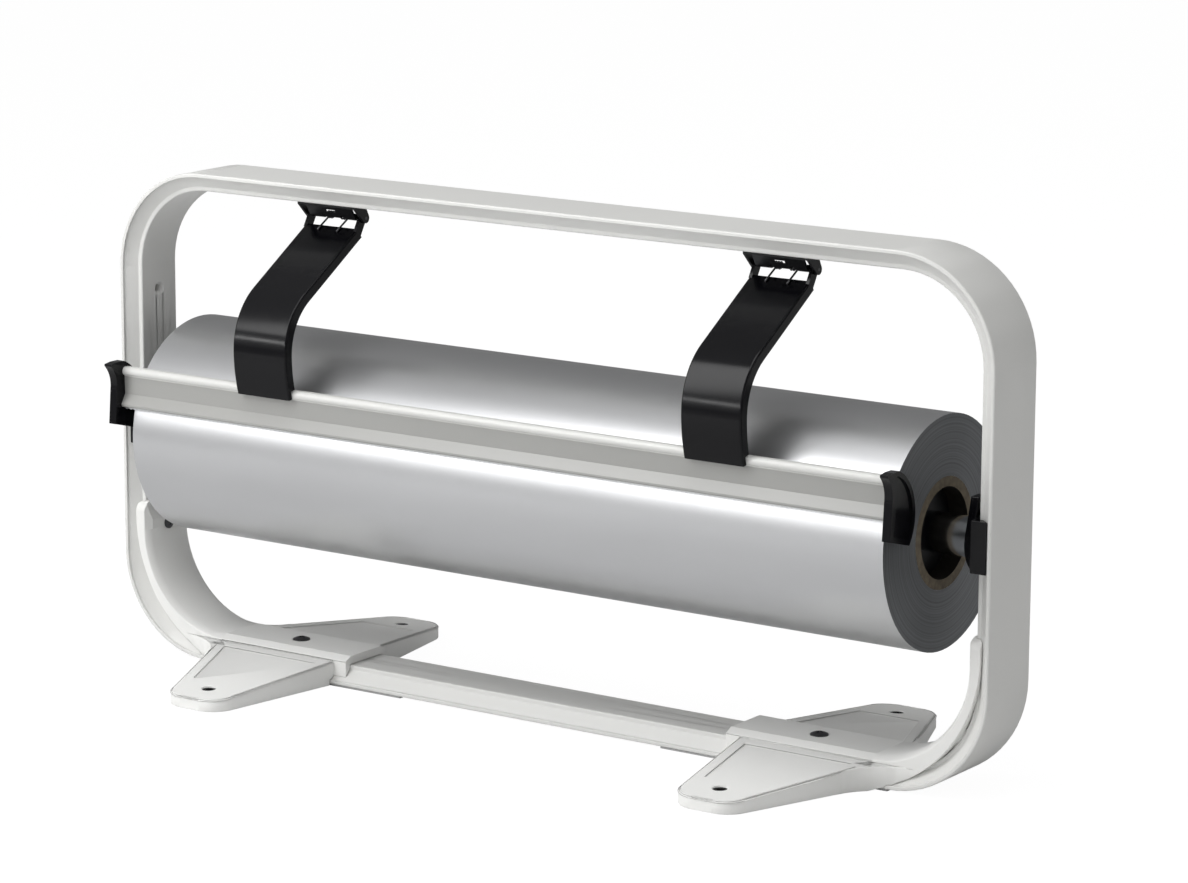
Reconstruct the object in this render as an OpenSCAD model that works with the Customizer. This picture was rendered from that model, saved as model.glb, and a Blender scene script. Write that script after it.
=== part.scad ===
// Table paper roll dispenser: a bent strip frame on two cast feet holds a roll on a shaft,
// and a cutting rail on two sprung arms rests on the roll.
// X runs along the roll, the paper leaves towards -Y, and Z is up from the counter.
// Lengths are in millimetres and angles in degrees.

/* [Frame] */
// Length of the paper roll, which sets the frame's width
roll_l = 506; // [496:2:516]
// Gap from each end of the roll to the frame
roll_gap = 30.8; // [30:0.2:32]
// Height of the frame loop
frame_h = 291.4; // [285:0.2:300]
// Gap between the counter and the loop, filled by the clamp strips
base_gap = 1; // [0.8:0.1:1.4]
// Outer radius of the loop's four corners
corner_r = 60; // [57:1:63]
// Width of the strip's outer face
strip_w = 45; // [43:0.5:47]
// Thickness of the strip
strip_t = 11.2; // [10.6:0.1:12]
// Width of the strip's inner face
inner_face_w = 31; // [30:0.5:32]
// Thickness of the lips along both edges of the outer face
lip_t = 2.4; // [2:0.1:2.8]
// Width of the step between a lip and the bevel
lip_step_w = 1.4; // [1:0.1:1.8]
// Height of the straight wall under the inner face
side_wall_h = 2.7; // [2.2:0.1:3.2]
// Chamfer of the strip's long edges
strip_chamfer = 0.6; // [0.4:0.1:0.8]
// Drop from the loop's top to the spare holes in the uprights
spare_drop = 75.4; // [74:0.2:78]
// Diameter of the screw holes in the frame
frame_hole_d = 4.2; // [4:0.1:4.6]
// Diameter of the countersink of the spare holes
spare_sink_d = 8; // [7:0.5:9]
// Depth of the screw holes in the frame
frame_hole_depth = 8.4; // [7.5:0.1:9]

/* [Feet] */
// Distance from the frame's outer face to the mounting holes
foot_hole_in = 121; // [117:1:125]
// Spacing from the front mounting hole to the rear one
foot_hole_spread = 183.4; // [176:0.2:190]
// Diameter of the mounting holes
foot_hole_d = 8.4; // [8:0.2:8.8]
// Bore of the rubber bushes in the mounting holes
bush_bore = 4.4; // [4.2:0.1:4.6]
// Distance from a mounting hole to the end of its leg
leg_end = 18.3; // [17:0.1:19.5]
// Width of a leg's tip
leg_tip_w = 43; // [41:0.5:45]
// Corner radius of a leg's tip
leg_tip_r = 15; // [14:0.5:17]
// Distance from the frame's outer face to the foot's inner end
foot_in_end = 164; // [160:1:168]
// How far the leg's inner side sets back from the foot's inner end at the bar
leg_root_in = 5.5; // [4:0.5:7]
// Distance from the frame's outer face to the leg's outer side at the bar
leg_root_out = 62; // [59:1:65]
// Height of a leg's upper face at the end of its tip
leg_tip_h = 7.1; // [6.6:0.1:8]
// Height of a leg's upper face beside the bar
leg_root_h = 13.8; // [13.2:0.1:14.6]
// Height of the leg's rounded upper edge
leg_edge_h = 1.8; // [1.4:0.1:2]
// Thickness of the saddle above the bar
saddle_t = 5.2; // [4.6:0.1:6]
// Width of the saddle and of the arm that climbs the upright
saddle_w = 39; // [38:0.5:41]
// Width of the saddle's flat top
saddle_top_w = 29; // [27:0.5:31]
// Thickness of the arm on the upright
climb_t = 4; // [3.6:0.1:4.6]
// Fillet radius between the saddle and the arm
climb_r = 56; // [54:1:59]
// Height of the arm's tip
climb_top = 91; // [88:1:95]
// Height of the arm's tapered tip
climb_taper_h = 12; // [10:1:14]
// Radius of the rising lower edge of the foot's outer corner
heel_r = 83.6; // [82:0.2:85]
// Height of that edge's centre
heel_z = 80.9; // [80:0.1:82]
// Distance of that edge from the frame's outer face at the upright
heel_in = 6.5; // [6:0.1:7]
// Depth of the bevel along the saddle and the arm
climb_bevel = 2.4; // [2:0.1:2.8]
// Corner radius of the arm's tip
climb_tip_r = 7; // [6:0.5:8]
// Fillet radius between a leg and the arm
web_fillet_r = 34; // [30:1:36]
// Wall of the hollow casting
cast_wall = 3; // [2.6:0.1:3.4]
// Thickness of the ribs under a leg
cast_rib = 2.4; // [2:0.1:3]
// Outer diameter of the bosses round the mounting holes
boss_d = 15; // [14:0.5:17]
// Depth of the panel sunk in a leg's upper face
panel_depth = 0.9; // [0.6:0.1:1.2]
// Width of the border round that panel
panel_border = 7; // [6:0.5:8]
// Distance from the frame's outer face to the saddle screw
saddle_screw_in = 116; // [112:1:120]
// Height of the screw in the foot's arm
climb_screw_z = 75; // [72:1:78]
// Distance from the frame's outer face to the clamp strip's inner end
strip_in_end = 205; // [195:1:215]
// Width of the clamp strips
clamp_w = 44; // [42:0.5:44.5]

/* [Screws] */
// Diameter of the saddle screws' heads
saddle_head_d = 10; // [9:0.5:11]
// Height of the saddle screws' heads
saddle_head_h = 2.6; // [2.2:0.1:3]
// Diameter of the small screws' heads
small_head_d = 7.6; // [7:0.2:8]
// Height of the small screws' heads
small_head_h = 1.8; // [1.5:0.1:2.2]
// Width of a head's slots, as a share of its diameter
slot_share = 0.14; // [0.12:0.01:0.16]
// How deep a saddle screw's head is sunk, as a share of its height
head_sink_share = 0.33; // [0.28:0.01:0.38]
// Diameter of the screws' shanks
shank_d = 4; // [3.6:0.1:4]

/* [Roll] */
// Outer radius of the paper roll
roll_r = 64; // [60:0.5:66]
// How far the roll sits off centre on its shaft
roll_shift = 1.4; // [0:0.2:2]
// Outer diameter of the cardboard core
core_d = 61; // [58:0.5:63]
// Wall of the cardboard core
core_t = 5.5; // [5:0.1:6]
// Diameter of the shaft
shaft_d = 22; // [21:0.2:23]
// Wall of the shaft's tube
shaft_t = 2; // [1.5:0.1:2.5]
// Height of the shaft's axis above the counter
shaft_z = 140; // [136:1:143]
// Distance from the roll's end to the face of a core plug
plug_sink = 11; // [9:0.5:13]
// Length of a core plug
plug_l = 26; // [22:1:30]
// Start of a core plug's ribs, as a share of its length
rib_start_share = 0.33; // [0.3:0.01:0.4]
// Thickness of a core plug's walls
plug_wall = 3; // [2.5:0.1:3.5]
// Number of ribs in a core plug
plug_ribs = 6; // [5:1:8]

/* [Shaft holders] */
// Height of the clip on the upright
clip_h = 28.4; // [26:0.2:30]
// Width of the clip on the upright
clip_w = 41; // [40:0.5:42]
// How far the clip reaches back over the strip's bevel
clip_reach = 7.2; // [6.6:0.1:7.6]
// Thickness of the holder's back wall
holder_back = 2.4; // [2:0.1:2.8]
// Depth of the cradle in front of the back wall
cradle_depth = 4.8; // [4.4:0.1:5.4]
// Outer radius of the cradle
cradle_r = 18.6; // [17.8:0.1:19.4]
// Height of the front horn above the shaft's axis
horn_h = 25; // [24:0.5:27]
// Distance of the horn's tip before the shaft's axis
horn_front = 12; // [11:0.5:13]
// Width of the horn's tip
horn_w = 8; // [7:0.5:9]
// Tilt of the slot from the vertical, open to the rear
slot_tilt = 45; // [40:1:50]

/* [Sprung arms] */
// Place of the arms, as a share of the roll's half length
arm_share = 0.6; // [0.58:0.01:0.62]
// Width of an arm
arm_w = 38; // [36:0.5:40]
// Thickness of an arm's web
arm_web = 2.4; // [2.2:0.1:2.8]
// Depth of an arm's side flanges
arm_flange_d = 6; // [5.5:0.1:6.6]
// Thickness of an arm's side flanges
arm_flange_t = 2; // [1.8:0.1:2.3]
// Radius of an arm's long outer edges
arm_edge_r = 1.2; // [1:0.1:1.3]
// Radius of the arm's upper bend, as a share of the arm's height
bend_r_share = 0.42; // [0.4:0.01:0.44]
// Radius of the arm's lower, flatter bend, as a share of the arm's height
tail_r_share = 0.93; // [0.88:0.01:1]
// Height of the lower bend, as a share of the arm's height
tail_h_share = 0.265; // [0.255:0.005:0.275]
// Angle by which the upper bend runs into the lower one
bend_lap = 0.4; // [0.3:0.1:0.5]
// Drop from the hinge pin to the top edge of the web
web_drop = 5.8; // [5.4:0.1:6.2]
// Advance from the hinge pin to the top edge of the web
web_advance = 5.2; // [4.9:0.1:5.5]
// Diameter of a hinge pin
pin_d = 2; // [1.8:0.1:2.2]
// Outer diameter of the arm's hinge barrels
barrel_d = 4; // [3.8:0.1:4.2]
// Half of the gap between an arm's two barrels
barrel_in = 8.6; // [8.4:0.1:9]
// Drop from the bar's inner face to the hinge pin
pin_drop = 8.7; // [8.5:0.1:9]
// Distance of the hinge pin behind the frame's middle
pin_y = 3; // [2.8:0.1:3.3]
// Thickness of the bracket's plate under the bar
plate_t = 2.6; // [2.4:0.1:2.7]
// Reach of the bracket's plate in front of the frame's middle
plate_front = 7.3; // [7:0.1:8]
// Reach of the bracket's plate behind the frame's middle
plate_rear = 11; // [10.5:0.5:12]
// Thickness of the bracket's ears
ear_t = 1.6; // [1.4:0.1:1.8]
// Radius of the ears round the pin
ear_r = 2.9; // [2.7:0.1:3.1]
// Height of the bracket's wall in front of the pin
wall_h = 6.8; // [6.5:0.1:7]
// Reach of the wall's top in front of the frame's middle
wall_front = 5.5; // [5.3:0.1:5.9]
// How far the wall leans back at its foot
wall_lean = 4.2; // [3.8:0.1:4.3]
// Thickness of the bracket's wall
wall_t = 1.3; // [1.1:0.1:1.4]
// Width of the slot in the bracket's wall
wall_slot_w = 7; // [6:0.5:8]
// Height of the slot in the bracket's wall
wall_slot_h = 1.5; // [1.2:0.1:1.8]
// Drop from the bracket's plate to that slot
wall_slot_drop = 2.1; // [1.8:0.1:2.4]
// Half of the distance between a bracket's two screws
bracket_screw_x = 13; // [12:0.5:14]
// Distance of the bracket's screws behind the frame's middle
bracket_screw_y = 6.6; // [6:0.2:7]

/* [Torsion springs] */
// Diameter of the spring wire
wire_d = 1.1; // [1:0.05:1.15]
// Turns in each half of a spring, less the part turn at its leg
spring_turns = 3; // [2:1:3]
// Distance of a spring's legs from the arm's middle
leg_x = 6.9; // [6.8:0.05:7]
// Half of the bridge between a spring's two coils
bridge_half = 2.5; // [2.2:0.1:2.6]
// Length of a spring's legs along the arm's web
leg_rest = 5; // [4:0.5:6]

/* [Cutting rail] */
// How far each end of the rail reaches past the roll
rail_over = 5; // [4:0.5:6]
// Angle round the roll at which the rail rests on it
rest_angle = 20; // [18:1:22]
// Height of the rail
rail_h = 23.3; // [22.6:0.1:24]
// Depth of the rail's foot below its rest line
rail_drop = 3.1; // [2.8:0.1:3.4]
// Thickness of the rail's web
rail_web = 2.1; // [1.9:0.1:2.3]
// Distance of the web's front face before the rest line
rail_web_y = 2.2; // [2:0.1:2.4]
// Height of the lip along the rail's top
rail_lip_h = 5; // [4.6:0.1:5.4]
// How far that lip's round front stands before the web
rail_lip_out = 2.1; // [1.9:0.1:2.3]
// How far that lip reaches behind the web
rail_lip_back = 1.2; // [1:0.1:1.4]
// Diameter of the rivets between the rail and the arms
rivet_d = 2; // [1.8:0.1:2.2]
// How far a rivet reaches into an arm's web
rivet_bite = 1.6; // [1.4:0.1:1.7]
// Size of the rail's small edges
rail_edge_r = 0.7; // [0.5:0.1:0.8]
// Height of the nose above the rail's foot
rail_nose_h = 1.7; // [1.5:0.1:1.9]
// How far the nose stands before the web
rail_nose_out = 3.4; // [3.2:0.1:3.7]
// Rise of the sloping face from the nose to the web
rail_slope_h = 5.7; // [5.3:0.1:6.1]
// Half of the flat that rests on the roll
rail_pad = 2.1; // [1.9:0.1:2.3]
// Thickness of the blade
blade_t = 0.8; // [0.7:0.05:0.9]
// Height of the blade
blade_h = 3.4; // [3.2:0.1:3.6]
// How far the blade stands below the rail
blade_out = 1.2; // [1:0.1:1.3]
// Pitch of the blade's teeth
tooth_pitch = 3; // [3:0.5:4]
// Depth of the blade's teeth
tooth_h = 0.8; // [0.6:0.1:0.9]

/* [Rail caps] */
// Thickness of an end cap
cap_t = 5; // [4.6:0.1:5.5]
// Radius of a cap's rounded back
cap_back_r = 27; // [26:0.5:28]
// Height of a cap
cap_h = 42; // [41:0.5:43]
// Height of a cap above the rail's top
cap_over = 3.5; // [3:0.1:4]
// Rise of the slant at a cap's foot
cap_slant = 5.7; // [5:0.1:6.4]
// How far a cap's foot reaches back, as a share of its back's radius
cap_foot_share = 0.86; // [0.82:0.01:0.9]
// Radius of the finger hollow in a cap's front
cap_hollow_r = 16; // [15:0.5:17]
// Width of the rim round a cap's sunk outer face
cap_rim = 2.6; // [2.2:0.1:3]
// Depth of the sunk outer face
cap_sink = 1.2; // [1:0.1:1.5]
// Length of the tongue that holds a cap in the rail
cap_tongue = 8; // [7:0.5:9]

/* [Clearances] */
// Gap between fixed pieces that are clipped or cast to fit
seat_gap = 0.15; // [0.1:0.05:0.2]
// Gap between pieces that move past each other
move_gap = 0.3; // [0.3:0.05:0.35]
// Radial gap between a pin or shaft and its hole
run_gap = 0.05; // [0.04:0.01:0.06]
// Overrun of every cut
cut = 1; // [1:0.5:2]

/* [Hidden] */
$fn = 72;

paint_colour = [0.80, 0.80, 0.78];
plastic_colour = [0.06, 0.06, 0.07];
steel_colour = [0.72, 0.74, 0.76];
screw_colour = [0.16, 0.16, 0.17];
paper_colour = [0.70, 0.71, 0.73];
card_colour = [0.55, 0.49, 0.42];
rubber_colour = [0.05, 0.05, 0.05];

inner_x = roll_l / 2 + roll_gap;
side_x = inner_x + strip_t;
frame_top = base_gap + frame_h;
bar_top = base_gap + strip_t;
bar_under = frame_top - strip_t;
corner_x = side_x - corner_r;
low_corner_z = base_gap + corner_r;
high_corner_z = frame_top - corner_r;
spare_hole_z = frame_top - spare_drop;
rail_l = roll_l + 2 * rail_over;
arm_x = arm_share * roll_l / 2;

hole_x = side_x - foot_hole_in;
hole_y = foot_hole_spread / 2;
leg_end_y = hole_y + leg_end;
foot_x0 = side_x - foot_in_end;
root_in_x = foot_x0 + leg_root_in;
root_out_x = side_x - leg_root_out;
saddle_top = bar_top + saddle_t;
climb_x = inner_x - climb_t;
climb_cx = climb_x - climb_r;
climb_cz = saddle_top + climb_r;
heel_cx = side_x - heel_in - heel_r;
saddle_screw_x = side_x - saddle_screw_in;
head_sink = head_sink_share * saddle_head_h;
shank_r = shank_d / 2;
frame_hole_r = frame_hole_d / 2;

rest_r = roll_r + move_gap;
rest_y = -rest_r * cos(rest_angle);
rest_z = shaft_z + rest_r * sin(rest_angle);
rail_front = rest_y - rail_web_y;
rail_low = rest_z - rail_drop;
rail_high = rail_low + rail_h;
lip_low = rail_high - rail_lip_h;
lip_front = rail_front - rail_lip_out;
nose_y = rail_front - rail_nose_out;
nose_z = rail_low + rail_nose_h;
lip_r = rail_lip_h / 2;
lip_z = lip_low + lip_r;
lip_back = rail_front + rail_web + rail_lip_back;
rivet_r = rivet_d / 2;

pin_z = bar_under - pin_drop;
pin_r = pin_d / 2;
tail_z = lip_low - move_gap;
arm_h = pin_z - tail_z;
arm_bend_r = bend_r_share * arm_h;
arm_tail_r = tail_r_share * arm_h;
tail_angle = asin(tail_h_share / tail_r_share);
bend_top_z = tail_z + tail_h_share * arm_h;
bend_front = lip_front - seat_gap - arm_tail_r
    + sqrt(pow(arm_tail_r - arm_web, 2) - pow(bend_top_z - lip_z, 2));
bend_y = bend_front + arm_bend_r;
web_top = [pin_y - web_advance, pin_z - web_drop];
bend_reach = norm(web_top - [bend_y, bend_top_z]);
reach_angle = atan2(web_top.y - bend_top_z, web_top.x - bend_y);
bend_start = reach_angle + acos(arm_bend_r / bend_reach);
slope_l = sqrt(pow(bend_reach, 2) - pow(arm_bend_r, 2));
slope_dir = [-sin(bend_start), cos(bend_start)];

shaft_r = shaft_d / 2;
core_r = core_d / 2;
core_in = core_r - core_t;
holder_x = inner_x - holder_back - cradle_depth;
shaft_end = inner_x - holder_back - move_gap - seat_gap;

// The strip's section: outer face on the Y axis, thickness towards -X, grown by a clearance
module strip_section(grow = 0) {
    half = strip_w / 2 + grow;
    inner_half = inner_face_w / 2 + grow;
    step = half - lip_step_w;
    lip = lip_t + grow;
    wall = strip_t - side_wall_h + grow;
    inner = strip_t + grow;
    c = strip_chamfer;
    side = [
        [grow, half - c], [grow - c, half], [-lip, half], [-lip, step],
        [-wall, inner_half], [c - inner, inner_half], [-inner, inner_half - c]
    ];
    polygon(concat(side, [for (i = [len(side) - 1:-1:0]) [side[i].x, -side[i].y]]));
}

// Solids whose outline is drawn in the YZ or the XZ plane
module along_x(l) { rotate([90, 0, 90]) linear_extrude(l, center = true) children(); }
module along_y(l) { rotate([90, 0, 0]) linear_extrude(l, center = true) children(); }
module rod_x(r, l) { rotate([0, 90, 0]) cylinder(h = l, r = r, center = true); }
module both_sides() { children(); mirror([1, 0, 0]) children(); }

// The strip bent round into the closed loop
module loop(grow = 0) {
    for (s = [0, 1]) mirror([s, 0, 0]) {
        translate([side_x, 0, low_corner_z]) linear_extrude(high_corner_z - low_corner_z)
            strip_section(grow);
        for (q = [[high_corner_z, 0], [low_corner_z, 270]])
            translate([corner_x, 0, q[0]]) rotate([90, 0, 0]) rotate([0, 0, q[1]])
                rotate_extrude(angle = 90) translate([corner_r, 0]) strip_section(grow);
    }
    translate([corner_x, 0, frame_top]) rotate([0, -90, 0])
        linear_extrude(2 * corner_x) strip_section(grow);
    translate([-corner_x, 0, base_gap]) rotate([0, 90, 0])
        linear_extrude(2 * corner_x) strip_section(grow);
}

module upright_hole(z) {
    translate([inner_x - cut, 0, z]) rotate([0, 90, 0])
        cylinder(h = frame_hole_depth + cut, r = frame_hole_r);
}

module spare_hole() {
    upright_hole(spare_hole_z);
    sink = (spare_sink_d - frame_hole_d) / 2;
    translate([inner_x, 0, spare_hole_z]) rotate([0, 90, 0])
        cylinder(h = sink, r1 = spare_sink_d / 2, r2 = frame_hole_r);
}

module frame_loop() {
    color(paint_colour) difference() {
        loop();
        both_sides() {
            spare_hole();
            upright_hole(climb_screw_z);
            upright_hole(shaft_z);
            translate([saddle_screw_x, 0, -cut])
                cylinder(h = bar_top + 2 * cut, r = frame_hole_r);
            for (s = [-1, 1])
                translate([arm_x + s * bracket_screw_x, bracket_screw_y, bar_under - cut])
                    cylinder(h = frame_hole_depth + cut, r = frame_hole_r);
        }
    }
}

function unit(v) = v / norm(v);

// Point where a line from p touches a circle, on its left (1) or its right (-1) side
function touch(p, c, r, side) =
    let (v = p - c, a = atan2(v.y, v.x) + side * acos(r / norm(v))) c + r * [cos(a), sin(a)];

// Outline of a front leg seen from above, drawn in by inset for its hollow and its panel
module leg_outline(inset = 0) {
    r = leg_tip_r - inset;
    tip_y = leg_tip_r - leg_end_y;
    ends = [hole_x - leg_tip_w / 2 + leg_tip_r, hole_x + leg_tip_w / 2 - leg_tip_r];
    root = [[root_in_x + inset, 0], [root_out_x - inset, 0]];
    for (x = ends) translate([x, tip_y]) circle(r = r);
    polygon([
        root[0], touch(root[0], [ends[0], tip_y], r, 1), [ends[0], tip_y - r],
        [ends[1], tip_y - r], touch(root[1], [ends[1], tip_y], r, -1), root[1]
    ]);
}

// Fillet between a leg's outer side and the foot's arm, seen from above
module leg_fillet() {
    tip = [hole_x + leg_tip_w / 2 - leg_tip_r, leg_tip_r - leg_end_y];
    root = [root_out_x, 0];
    side = unit(touch(root, tip, leg_tip_r, -1) - root);
    edge = root - side * saddle_w / 2 / side.y;
    half = (180 + atan2(side.x, -side.y) + 90) / 2 - 90;
    l = web_fillet_r / tan(90 - half);
    centre = [edge.x + l, edge.y - web_fillet_r];
    difference() {
        polygon([
            edge - [leg_edge_h, 0], edge + l * side, centre, [centre.x, edge.y],
            [centre.x, 0], root
        ]);
        translate(centre) circle(r = web_fillet_r);
    }
}

// Height of a leg's upper face at a distance from the frame's middle
function leg_top(y) = leg_root_h
    - (leg_root_h - leg_tip_h) * (y - strip_w / 2) / (leg_end_y - strip_w / 2);

// Space under a leg's upper face, lowered by drop, from y0 outwards
module under_leg_top(drop, y0, y1) {
    translate([side_x / 2, 0, 0]) along_x(2 * side_x)
        polygon([[-y0, -cut], [-y0, leg_top(y0) - drop], [-y1, leg_top(y1) - drop], [-y1, -cut]]);
}

// A leg with its upper edge broken in three steps that follow a round
module leg_body() {
    top_h = leg_root_h + saddle_t;
    difference() {
        for (a = [0, 30, 60]) intersection() {
            linear_extrude(top_h) {
                leg_outline(leg_edge_h * (1 - cos(a)));
                leg_fillet();
            }
            under_leg_top(leg_edge_h * (1 - sin(a + 30)), 0, leg_end_y);
        }
        translate([0, -leg_end_y - cut, -2 * cut]) cube([2 * side_x, leg_end_y + 2 * cut, 2 * cut]);
    }
}

// The hollow under a leg, with its ribs and the boss round the mounting hole left standing
module leg_hollow() {
    y0 = strip_w / 2 + seat_gap + cast_wall;
    difference() {
        intersection() {
            translate([0, 0, -cut]) linear_extrude(leg_root_h + cut) leg_outline(cast_wall);
            under_leg_top(cast_wall + panel_depth, y0, leg_end_y);
        }
        translate([hole_x, -hole_y, -cut]) cylinder(h = leg_root_h + cut, r = boss_d / 2);
        translate([hole_x - cast_rib / 2, -hole_y, -cut])
            cube([cast_rib, hole_y, leg_root_h + cut]);
        translate([0, -(hole_y + y0) / 2 - cast_rib / 2, -cut])
            cube([side_x, cast_rib, leg_root_h + cut]);
    }
}

// The panel sunk in a leg's upper face between the bar and the mounting hole
module leg_panel() {
    y0 = saddle_w / 2 + panel_border;
    y1 = hole_y - boss_d / 2 - panel_border / 2;
    difference() {
        translate([0, -y1, 0]) intersection() {
            cube([side_x, y1 - y0, leg_root_h + saddle_t]);
            translate([0, y1, 0]) linear_extrude(leg_root_h + saddle_t) leg_outline(panel_border);
        }
        under_leg_top(panel_depth, y0 - cut, y1 + cut);
    }
}

// Section of the saddle and the arm: inner face on the Y axis, thickness towards +X
module climb_section() {
    half = saddle_w / 2;
    top = saddle_top_w / 2;
    polygon([
        [0, -top], [climb_bevel, -half], [climb_t, -half],
        [climb_t, half], [climb_bevel, half], [0, top]
    ]);
}

// Front view of the room between the saddle's and the arm's faces and the loop's middle
module climb_room() {
    deep_r = corner_r - lip_t;
    face = (climb_bevel + climb_t) / 2;
    difference() {
        intersection() {
            translate([foot_x0, 0]) square([side_x - heel_in - foot_x0, heel_z]);
            union() {
                translate([corner_x, low_corner_z]) circle(r = deep_r);
                translate([foot_x0, low_corner_z - deep_r]) square([corner_x - foot_x0, deep_r]);
                translate([corner_x, low_corner_z]) square([deep_r, deep_r]);
            }
        }
        translate([climb_cx, climb_cz]) circle(r = climb_r + face);
        translate([foot_x0 - cut, saddle_top - face])
            square([climb_cx - foot_x0 + cut, corner_r + deep_r]);
        translate([climb_cx, climb_cz]) square([climb_r + face, corner_r]);
    }
}

// Room kept free under the foot's rising outer corner
module heel_cut() {
    along_y(2 * (leg_end_y + cut)) difference() {
        translate([heel_cx, -2 * cut]) square([2 * heel_r, heel_z + 2 * cut]);
        translate([heel_cx, heel_z]) circle(r = heel_r);
    }
}

// Room outside the loop's outer face, under the bar and round its corner
module outside_loop() {
    deep_r = corner_r - lip_t;
    along_y(strip_w + 2 * seat_gap) difference() {
        translate([0, -2 * cut]) square([2 * side_x, low_corner_z + 2 * cut]);
        translate([corner_x, low_corner_z]) circle(r = deep_r);
        translate([-cut, low_corner_z - deep_r]) square([corner_x + cut, deep_r + cut]);
        translate([corner_x - cut, low_corner_z - cut]) square([deep_r + cut, 2 * cut]);
    }
}

// The arm's tip: thinner at its end and with rounded corners
module climb_end() {
    half = saddle_w / 2;
    rise = climb_top - climb_cz;
    intersection() {
        translate([climb_x, 0, climb_cz]) linear_extrude(rise) polygon([
            [0, -saddle_top_w / 2], [climb_bevel, -half], [strip_t, -half],
            [strip_t, half], [climb_bevel, half], [0, saddle_top_w / 2]
        ]);
        translate([climb_x, 0, climb_cz - cut]) along_x(4 * strip_t) union() {
            translate([-half, 0]) square([saddle_w, rise + cut - climb_tip_r]);
            translate([climb_tip_r - half, 0]) square([saddle_w - 2 * climb_tip_r, rise + cut]);
            for (s = [-1, 1]) translate([s * (half - climb_tip_r), rise + cut - climb_tip_r])
                circle(r = climb_tip_r);
        }
        along_y(saddle_w + 2 * cut) polygon([
            [climb_x - cut, climb_cz - cut], [climb_x - cut, climb_top - climb_taper_h],
            [climb_x, climb_top - climb_taper_h], [climb_x + climb_t / 2, climb_top],
            [side_x - heel_in, climb_top], [side_x - heel_in, climb_cz - cut]
        ]);
    }
}

// The saddle on the bar and the arm that climbs the frame's corner
module saddle_and_climb() {
    translate([foot_x0, 0, saddle_top]) rotate([0, 90, 0])
        linear_extrude(climb_cx - foot_x0) climb_section();
    translate([climb_cx, 0, climb_cz]) rotate([90, 0, 0]) rotate([0, 0, 270])
        rotate_extrude(angle = 90) translate([climb_r, 0]) climb_section();
    along_y(saddle_top_w) climb_room();
    difference() {
        union() {
            climb_end();
            along_y(saddle_w) climb_room();
        }
        heel_cut();
    }
}

module foot() {
    color(paint_colour) difference() {
        union() {
            for (s = [0, 1]) mirror([0, s, 0]) difference() {
                leg_body();
                leg_panel();
                leg_hollow();
                heel_cut();
            }
            saddle_and_climb();
        }
        loop(seat_gap);
        outside_loop();
        for (s = [-1, 1]) translate([hole_x, s * hole_y, -cut])
            cylinder(h = leg_root_h + 2 * cut, r = foot_hole_d / 2);
        translate([saddle_screw_x, 0, 0])
            cylinder(h = saddle_top + cut, r = frame_hole_r);
        translate([saddle_screw_x, 0, saddle_top - head_sink])
            cylinder(h = saddle_head_h, r = saddle_head_d / 2 + seat_gap);
        translate([climb_x - cut, 0, climb_screw_z]) rotate([0, 90, 0])
            cylinder(h = climb_t + 2 * cut, r = frame_hole_r);
    }
}

module left_foot() { mirror([1, 0, 0]) foot(); }
module right_foot() { foot(); }

// Rubber bushes that line the mounting holes
module foot_bushes() {
    bush_h = leg_top(hole_y) - leg_edge_h / 2;
    color(rubber_colour) both_sides() for (s = [-1, 1]) translate([hole_x, s * hole_y, 0])
        difference() {
            cylinder(h = bush_h, r = foot_hole_d / 2 - seat_gap / 2);
            translate([0, 0, -cut]) cylinder(h = bush_h + 2 * cut, r = bush_bore / 2);
        }
}

module clamp_strip() {
    x0 = side_x - strip_in_end;
    color(steel_colour) difference() {
        translate([x0, -clamp_w / 2, 0]) cube([corner_x - x0, clamp_w, base_gap]);
        translate([saddle_screw_x, 0, -cut]) cylinder(h = base_gap + 2 * cut, r = frame_hole_r);
    }
}

module left_clamp_strip() { mirror([1, 0, 0]) clamp_strip(); }
module right_clamp_strip() { clamp_strip(); }

// A screw with a domed, cross-slotted head that points up, its head's underside at the origin
module screw(head_d, head_h, l) {
    dome_r = (pow(head_d / 2, 2) + pow(head_h / 2, 2)) / head_h;
    slot = slot_share * head_d;
    difference() {
        union() {
            cylinder(h = head_h / 2, r = head_d / 2);
            intersection() {
                translate([0, 0, head_h - dome_r]) sphere(r = dome_r);
                translate([0, 0, head_h / 2]) cylinder(h = head_h, r = head_d / 2);
            }
            translate([0, 0, -l]) cylinder(h = l + head_h / 4, r = shank_r);
        }
        for (a = [0, 90]) rotate([0, 0, a])
            translate([-head_d / 4, -slot / 2, head_h / 2]) cube([head_d / 2, slot, head_h]);
    }
}

module saddle_screws() {
    color(screw_colour) both_sides() translate([saddle_screw_x, 0, saddle_top - head_sink])
        screw(saddle_head_d, saddle_head_h, saddle_top - head_sink);
}

module foot_arm_screws() {
    color(screw_colour) both_sides() translate([climb_x, 0, climb_screw_z]) rotate([0, -90, 0])
        screw(small_head_d, small_head_h, climb_t + frame_hole_depth - seat_gap);
}

// Side view of the cradle: a round cup with a tall front horn and a slot open to the rear
module cradle_outline() {
    slot_r = shaft_r + move_gap;
    horn = [[-horn_front, horn_h], [horn_w - horn_front, horn_h]];
    difference() {
        union() {
            circle(r = cradle_r);
            polygon([touch(horn[0], [0, 0], cradle_r, 1), horn[0], horn[1], [horn_w, 0], [0, 0]]);
        }
        circle(r = shaft_r + run_gap);
        rotate(-slot_tilt) translate([-slot_r, 0]) square([2 * slot_r, 2 * cradle_r]);
    }
}

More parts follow.
